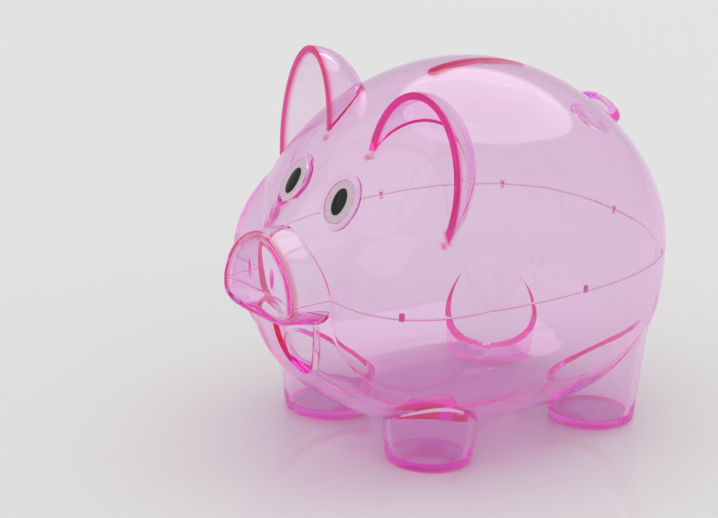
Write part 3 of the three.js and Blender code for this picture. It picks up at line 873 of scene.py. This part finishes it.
# %% Clear pink plastic
CLEAR_IOR = 1.57
FACE_TINT = (0.97, 0.96, 0.97)
# painted deep magenta tint for the faces where the wall is seen edge-on
PAINTED_EDGE_TINT = (0.76, 0.003, 0.16)
# painted glow, no lamp: a little on faces met from inside, more at the edges, to make them hot pink
PAINTED_CAUGHT_GLOW = (1.0, 0.05, 2.2)
PAINTED_EDGE_GLOW = (10.0, 0.1, 6.0)
PAINTED_GLOW_STRENGTH = 0.0054
SHADOW_TINT = (0.84, 0.70, 0.80)
DYE = (0.99, 0.31, 0.88)
DYE_DENSITY = 100.0


def clear_pink():
    """A clear wall with its dye in the volume. A painted glow makes the edges hot: each time a ray meets a
    face from inside, it gains a little painted pink, so one pass gains next to nothing and a ray that bounces
    about in an edge gains a hot magenta. Where the edge value is high, the face gets a painted deep magenta
    tint and a stronger painted glow. Shadows are let through, pale pink."""
    made, nodes, link = material("clear pink polystyrene")
    plastic = nodes.new("ShaderNodeBsdfPrincipled")
    plastic.inputs["Transmission Weight"].default_value = 1.0
    plastic.inputs["IOR"].default_value = CLEAR_IOR
    plastic.inputs["Emission Strength"].default_value = PAINTED_GLOW_STRENGTH
    edge = nodes.new("ShaderNodeAttribute")
    edge.attribute_name = "edge"
    # painted deep magenta tint where the edge value is high
    link(blend(nodes, link, edge.outputs["Fac"], FACE_TINT, PAINTED_EDGE_TINT), plastic.inputs["Base Color"])
    uneven = unevenness(nodes, wave_size=70, wave_height=0.06, grain_height=0.0)
    link(uneven.outputs["Normal"], plastic.inputs["Normal"])
    link(from_marks(nodes, link, uneven, 0.0, 0.05), plastic.inputs["Roughness"])
    face = nodes.new("ShaderNodeNewGeometry")
    # painted glow on faces met from inside, stronger where the edge value is high
    painted_inner_glow = blend(nodes, link, face.outputs["Backfacing"], (0, 0, 0), PAINTED_CAUGHT_GLOW)
    link(blend(nodes, link, edge.outputs["Fac"], painted_inner_glow, PAINTED_EDGE_GLOW), plastic.inputs["Emission Color"])
    clear = nodes.new("ShaderNodeBsdfTransparent")
    clear.inputs["Color"].default_value = (*SHADOW_TINT, 1)
    rays = nodes.new("ShaderNodeLightPath")
    either = nodes.new("ShaderNodeMixShader")
    link(rays.outputs["Is Shadow Ray"], either.inputs["Fac"])
    link(plastic.outputs["BSDF"], either.inputs[1])
    link(clear.outputs["BSDF"], either.inputs[2])
    dye = nodes.new("ShaderNodeVolumeAbsorption")
    dye.inputs["Color"].default_value = (*DYE, 1)
    dye.inputs["Density"].default_value = DYE_DENSITY
    out = nodes.new("ShaderNodeOutputMaterial")
    link(either.outputs["Shader"], out.inputs["Surface"])
    link(dye.outputs["Volume"], out.inputs["Volume"])
    return made


# %% Frosted and black plastics
OPAQUE_IOR = 1.4
OPAQUE_WAVE_SIZE = 300


def opaque(name, low, high, roughness, wave, grain):
    """A moulded plastic whose colour and roughness drift between two values."""
    made, nodes, link = material(name)
    plastic = nodes.new("ShaderNodeBsdfPrincipled")
    plastic.inputs["IOR"].default_value = OPAQUE_IOR
    uneven = unevenness(nodes, OPAQUE_WAVE_SIZE, wave, grain)
    link(blend(nodes, link, uneven.outputs["Marks"], low, high), plastic.inputs["Base Color"])
    link(uneven.outputs["Normal"], plastic.inputs["Normal"])
    link(from_marks(nodes, link, uneven, *roughness), plastic.inputs["Roughness"])
    out = nodes.new("ShaderNodeOutputMaterial")
    link(plastic.outputs["BSDF"], out.inputs["Surface"])
    return made


pink = clear_pink()
frost = opaque(
    "frosted pink", (0.78, 0.60, 0.70), (0.84, 0.67, 0.76), roughness=(0.5, 0.62), wave=0.05, grain=0.3
)
black = opaque(
    "black gloss", (0.006, 0.006, 0.008), (0.012, 0.012, 0.014), roughness=(0.08, 0.2), wave=0.03, grain=0.02
)
for made in shells.values():
    made.data.materials.clear()
    made.data.materials.append(pink)
for name, piece in eyes.items():
    piece.data.materials.clear()
    piece.data.materials.append(black if name.startswith("pupil") else frost)
print("plastics:", pink.name, frost.name, black.name)

# %% [markdown]
# ## The stage
# A white floor with a little gloss, a pale world all round, and large soft lamps.

# %% Floor
FLOOR_RADIUS = 9000.0
FLOOR_RINGS = 12
FLOOR_TURN_STEPS = 64
FLOOR_DROP = 0.02
FLOOR_THICKNESS = 20.0
FLOOR_COLOUR = (0.8, 0.8, 0.79, 1)
FLOOR_IOR = 1.45
FLOOR_SPOT_SCALE = 6
FLOOR_ROUGHNESS = 0.06, 0.14


def floor_disc():
    """A slab whose top is rings of growing radius, just below z = 0, where the feet stand."""
    turn = round_turn(FLOOR_TURN_STEPS)
    radius = FLOOR_RADIUS * between(0, 1, FLOOR_RINGS) ** 2
    top = np.stack([radius * np.cos(turn), radius * np.sin(turn), 0 * radius * turn - FLOOR_DROP], axis=-1)
    bottom = top[::-1] - [0, 0, FLOOR_THICKNESS]
    return closed_surface("floor", np.concatenate([top, bottom]))


floor = floor_disc()
made, nodes, link = material("white acrylic floor")
acrylic = nodes.new("ShaderNodeBsdfPrincipled")
acrylic.inputs["Base Color"].default_value = FLOOR_COLOUR
acrylic.inputs["IOR"].default_value = FLOOR_IOR
spots = nodes.new("ShaderNodeTexNoise")
spots.inputs["Scale"].default_value = FLOOR_SPOT_SCALE
spread = nodes.new("ShaderNodeMapRange")
spread.inputs["To Min"].default_value, spread.inputs["To Max"].default_value = FLOOR_ROUGHNESS
link(spots.outputs["Fac"], spread.inputs["Value"])
link(spread.outputs["Result"], acrylic.inputs["Roughness"])
out = nodes.new("ShaderNodeOutputMaterial")
link(acrylic.outputs["BSDF"], out.inputs["Surface"])
floor.data.materials.append(made)
print("floor:", made.name)

# %% World and lamps
SKY_COLOUR = (0.95, 0.955, 0.95, 1)
SKY_STRENGTH = 0.66
MIDDLE = Vector((0, 0, 0.05))

scene = bpy.context.scene
world = bpy.data.worlds.new("pale studio")
scene.world = world
world.use_nodes = True
sky = world.node_tree.nodes["Background"]
sky.inputs["Color"].default_value = SKY_COLOUR
sky.inputs["Strength"].default_value = SKY_STRENGTH


def lamp(name, azimuth, elevation, distance, width, height, watts):
    """A soft oval panel at a bearing round the pig, aimed at its middle, with its sizes in metres."""
    a, e = np.radians(azimuth), np.radians(elevation)
    away = Vector((np.sin(a) * np.cos(e), -np.cos(a) * np.cos(e), np.sin(e)))
    panel = bpy.data.lights.new(name, "AREA")
    panel.shape = "ELLIPSE"
    panel.size, panel.size_y, panel.energy = width, height, watts
    lit = bpy.data.objects.new(name, panel)
    scene.collection.objects.link(lit)
    lit.location = MIDDLE + away * distance
    lit.rotation_mode = "QUATERNION"
    lit.rotation_quaternion = away.to_track_quat("Z", "Y")
    print(name, "at", azimuth, "degrees round and", elevation, "up")


lamp("front softbox", azimuth=-20, elevation=55, distance=1.5, width=2.4, height=2.0, watts=3.5)
lamp("back softbox", azimuth=205, elevation=60, distance=1.6, width=2.2, height=2.0, watts=11)

# %% Camera
AZIMUTH, ELEVATION, ROLL = np.radians((51.37, 20.14, 2.42))
AIM_MM = Vector((-18.12, -13.95, 41.78))
CAMERA_DISTANCE = 1.3188
SENSOR_WIDTH = 36
FOCAL_LENGTH = 248.27
NEAREST, FARTHEST = 0.05, 50

camera = bpy.data.objects.new("camera", bpy.data.cameras.new("camera"))
scene.collection.objects.link(camera)
scene.camera = camera
back = Vector((np.sin(AZIMUTH) * np.cos(ELEVATION), -np.cos(AZIMUTH) * np.cos(ELEVATION), np.sin(ELEVATION)))
right = Vector((np.cos(AZIMUTH), np.sin(AZIMUTH), 0))
up = back.cross(right)
leaning = np.cos(ROLL) * right + np.sin(ROLL) * up
upright = np.cos(ROLL) * up - np.sin(ROLL) * right
camera.matrix_world = Matrix.Translation(AIM_MM * MM + back * CAMERA_DISTANCE) @ (
    Matrix((leaning, upright, back)).transposed().to_4x4()
)
camera.data.sensor_width = SENSOR_WIDTH
camera.data.lens = FOCAL_LENGTH
camera.data.clip_start, camera.data.clip_end = NEAREST, FARTHEST
print("camera at", [round(c, 3) for c in camera.matrix_world.translation])

# %% [markdown]
# ## Light paths
# Light caught in a clear wall is reflected over and over, and each of those bounces counts as a glossy one.
# So as many glossy bounces are followed as transmitted ones, or the edges would go dark.

# %% Light paths and colour
BOUNCES = 96
TRANSPARENT_BOUNCES = 32

scene.view_settings.view_transform = "Standard"
scene.cycles.max_bounces = BOUNCES
scene.cycles.transmission_bounces = BOUNCES
scene.cycles.glossy_bounces = BOUNCES
scene.cycles.transparent_max_bounces = TRANSPARENT_BOUNCES
print("light paths followed for", BOUNCES, "bounces")
